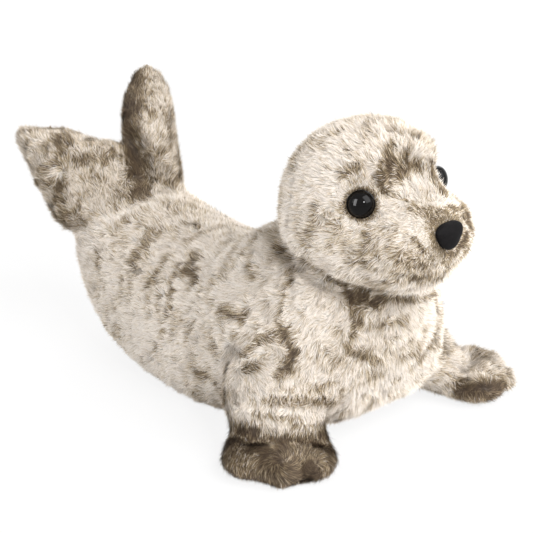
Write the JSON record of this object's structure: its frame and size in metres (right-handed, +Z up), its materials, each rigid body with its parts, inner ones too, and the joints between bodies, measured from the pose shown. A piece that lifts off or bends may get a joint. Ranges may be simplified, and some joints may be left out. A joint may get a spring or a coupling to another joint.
{
  "type": "plush seal",
  "caption": "Stuffed plush seal pup lying on its belly, head raised and hind flippers up, with mottled short fur, glossy black eyes and a black nose.",
  "frame": {"origin": "on the floor under the middle of the belly, on the toy's middle plane", "axes": "+X forward towards the nose, +Y to the toy's left, +Z up"},
  "size_m": [0.3085, 0.2126, 0.1755],
  "materials": {
    "plush": "mottled cream and brown plush pile",
    "eye_plastic": "polished",
    "nose_flock": "flocked",
    "washer_plastic": "milky, as moulded"
  },
  "bodies": {
    "root": {"torso": "plush", "head": "plush", "fore_flipper_right": "plush", "fore_flipper_left": "plush", "hind_flipper_right": "plush", "hind_flipper_left": "plush", "eye_right": "eye_plastic", "eye_left": "eye_plastic", "nose": "nose_flock", "eye_washer_right": "washer_plastic", "eye_washer_left": "washer_plastic", "nose_washer": "washer_plastic"}
  },
  "joints": []
}
